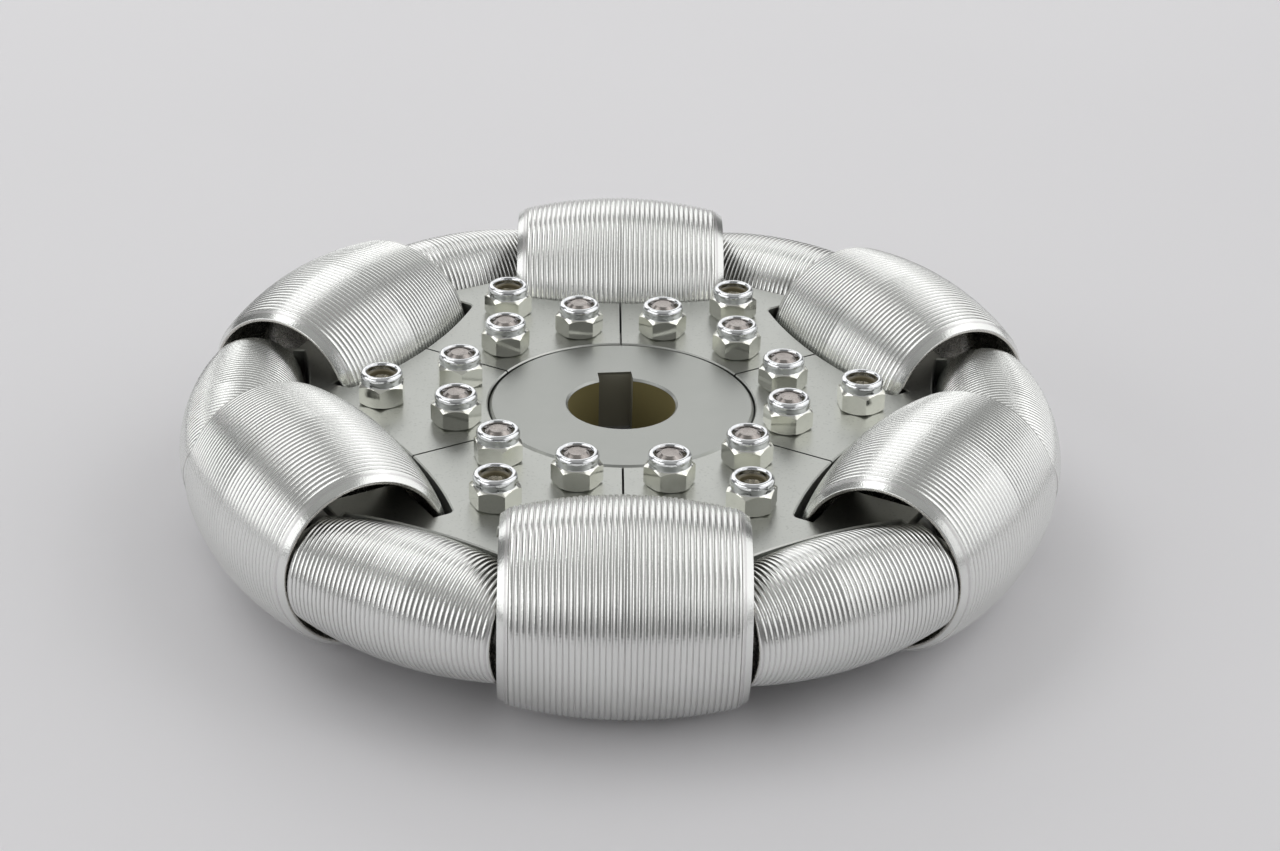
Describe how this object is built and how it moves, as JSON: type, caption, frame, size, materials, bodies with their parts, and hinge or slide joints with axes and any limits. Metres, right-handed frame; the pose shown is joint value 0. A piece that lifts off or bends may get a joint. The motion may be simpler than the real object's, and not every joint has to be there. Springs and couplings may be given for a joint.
{
  "type": "omni wheel",
  "caption": "Metal omni wheel: large hollow rollers alternate with small rollers nested in their mouths, on bolted sector plates round a keyed hub.",
  "frame": {"origin": "centre of the wheel, on its axle at mid thickness", "axes": "+Z along the wheel's axle, the nuts' side up; a large roller at -Y and one at +Y"},
  "size_m": [0.203, 0.203, 0.047],
  "materials": {
    "turned_roller": "turned, with fine grooves round it",
    "blasted_plate": "bead-blasted, matt",
    "hub_face": "fine turned, matt",
    "ground_steel": "ground",
    "bearing_steel": "polished",
    "zinc_steel": "bright zinc plated"
  },
  "bodies": {
    "root": {"hub": "hub_face", "upper_sector_1": "blasted_plate", "upper_sector_2": "blasted_plate", "upper_sector_3": "blasted_plate", "upper_sector_4": "blasted_plate", "upper_sector_5": "blasted_plate", "upper_sector_6": "blasted_plate", "lower_sector_1": "blasted_plate", "lower_sector_2": "blasted_plate", "lower_sector_3": "blasted_plate", "lower_sector_4": "blasted_plate", "lower_sector_5": "blasted_plate", "lower_sector_6": "blasted_plate", "large_axle_1": "ground_steel", "large_axle_2": "ground_steel", "large_axle_3": "ground_steel", "large_axle_4": "ground_steel", "large_axle_5": "ground_steel", "large_axle_6": "ground_steel", "small_axle_1": "ground_steel", "small_axle_2": "ground_steel", "small_axle_3": "ground_steel", "small_axle_4": "ground_steel", "small_axle_5": "ground_steel", "small_axle_6": "ground_steel", "large_spacers": "ground_steel", "inner_bolts": "zinc_steel", "outer_bolts": "zinc_steel", "inner_nuts": "zinc_steel", "outer_nuts": "zinc_steel"},
    "large_barrel_1": {"large_roller_1": "turned_roller", "large_bearing_1": "bearing_steel"},
    "small_barrel_1": {"small_roller_1": "turned_roller", "small_bearings_1": "bearing_steel"},
    "large_barrel_2": {"large_roller_2": "turned_roller", "large_bearing_2": "bearing_steel"},
    "small_barrel_2": {"small_roller_2": "turned_roller", "small_bearings_2": "bearing_steel"},
    "large_barrel_3": {"large_roller_3": "turned_roller", "large_bearing_3": "bearing_steel"},
    "small_barrel_3": {"small_roller_3": "turned_roller", "small_bearings_3": "bearing_steel"},
    "large_barrel_4": {"large_roller_4": "turned_roller", "large_bearing_4": "bearing_steel"},
    "small_barrel_4": {"small_roller_4": "turned_roller", "small_bearings_4": "bearing_steel"},
    "large_barrel_5": {"large_roller_5": "turned_roller", "large_bearing_5": "bearing_steel"},
    "small_barrel_5": {"small_roller_5": "turned_roller", "small_bearings_5": "bearing_steel"},
    "large_barrel_6": {"large_roller_6": "turned_roller", "large_bearing_6": "bearing_steel"},
    "small_barrel_6": {"small_roller_6": "turned_roller", "small_bearings_6": "bearing_steel"}
  },
  "joints": [
    {"name": "large_barrel_1_turn", "type": "hinge", "parent": "root", "child": "large_barrel_1", "pos_m": [0, -0.078, 0], "axis": [1, 0, 0], "continuous": true},
    {"name": "small_barrel_1_turn", "type": "hinge", "parent": "root", "child": "small_barrel_1", "pos_m": [0.04365, -0.0756, 0], "axis": [0.866, 0.5, 0], "continuous": true},
    {"name": "large_barrel_2_turn", "type": "hinge", "parent": "root", "child": "large_barrel_2", "pos_m": [0.06755, -0.039, 0], "axis": [0.5, 0.866, 0], "continuous": true},
    {"name": "small_barrel_2_turn", "type": "hinge", "parent": "root", "child": "small_barrel_2", "pos_m": [0.0873, 0, 0], "axis": [0, 1, 0], "continuous": true},
    {"name": "large_barrel_3_turn", "type": "hinge", "parent": "root", "child": "large_barrel_3", "pos_m": [0.06755, 0.039, 0], "axis": [-0.5, 0.866, 0], "continuous": true},
    {"name": "small_barrel_3_turn", "type": "hinge", "parent": "root", "child": "small_barrel_3", "pos_m": [0.04365, 0.0756, 0], "axis": [-0.866, 0.5, 0], "continuous": true},
    {"name": "large_barrel_4_turn", "type": "hinge", "parent": "root", "child": "large_barrel_4", "pos_m": [0, 0.078, 0], "axis": [-1, 0, 0], "continuous": true},
    {"name": "small_barrel_4_turn", "type": "hinge", "parent": "root", "child": "small_barrel_4", "pos_m": [-0.04365, 0.0756, 0], "axis": [-0.866, -0.5, 0], "continuous": true},
    {"name": "large_barrel_5_turn", "type": "hinge", "parent": "root", "child": "large_barrel_5", "pos_m": [-0.06755, 0.039, 0], "axis": [-0.5, -0.866, 0], "continuous": true},
    {"name": "small_barrel_5_turn", "type": "hinge", "parent": "root", "child": "small_barrel_5", "pos_m": [-0.0873, 0, 0], "axis": [0, -1, 0], "continuous": true},
    {"name": "large_barrel_6_turn", "type": "hinge", "parent": "root", "child": "large_barrel_6", "pos_m": [-0.06755, -0.039, 0], "axis": [0.5, -0.866, 0], "continuous": true},
    {"name": "small_barrel_6_turn", "type": "hinge", "parent": "root", "child": "small_barrel_6", "pos_m": [-0.04365, -0.0756, 0], "axis": [0.866, -0.5, 0], "continuous": true}
  ]
}
